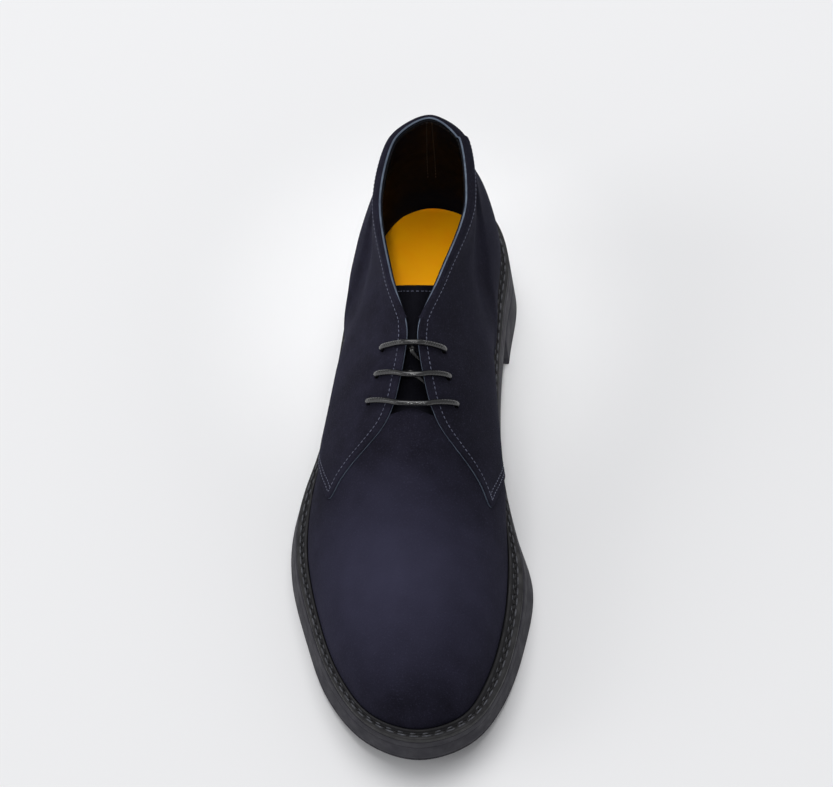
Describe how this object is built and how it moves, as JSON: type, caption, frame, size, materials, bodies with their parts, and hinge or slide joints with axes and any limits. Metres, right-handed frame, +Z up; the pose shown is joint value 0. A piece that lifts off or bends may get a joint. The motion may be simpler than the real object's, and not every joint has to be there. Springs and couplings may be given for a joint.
{
  "type": "chukka boot",
  "caption": "Ankle-high lace-up boot with a plain vamp, open-laced quarters, storm welt and block-heeled rubber sole; right foot.",
  "frame": {"origin": "on the ground, below the middle of the boot's bounding box", "axes": "+Z up, toe towards -Y, heel towards +Y, inner side of the right foot towards +X"},
  "size_m": [0.1136, 0.3, 0.1069],
  "materials": {
    "suede": "brushed suede, dark navy",
    "tongue_suede": "suede, dark navy, a little smoother than the upper",
    "insole_leather": "smooth dyed leather, orange yellow",
    "welt_rubber": "moulded rubber, satin, near black",
    "sole_rubber": "trimmed and waxed rubber edge, near black",
    "lace_cotton": "waxed round braid, black"
  },
  "bodies": {
    "root": {"upper": "suede", "tongue": "tongue_suede", "insole": "insole_leather", "welt": "welt_rubber", "midsole": "sole_rubber", "outsole": "sole_rubber", "heel": "sole_rubber", "lace": "lace_cotton"}
  },
  "joints": []
}
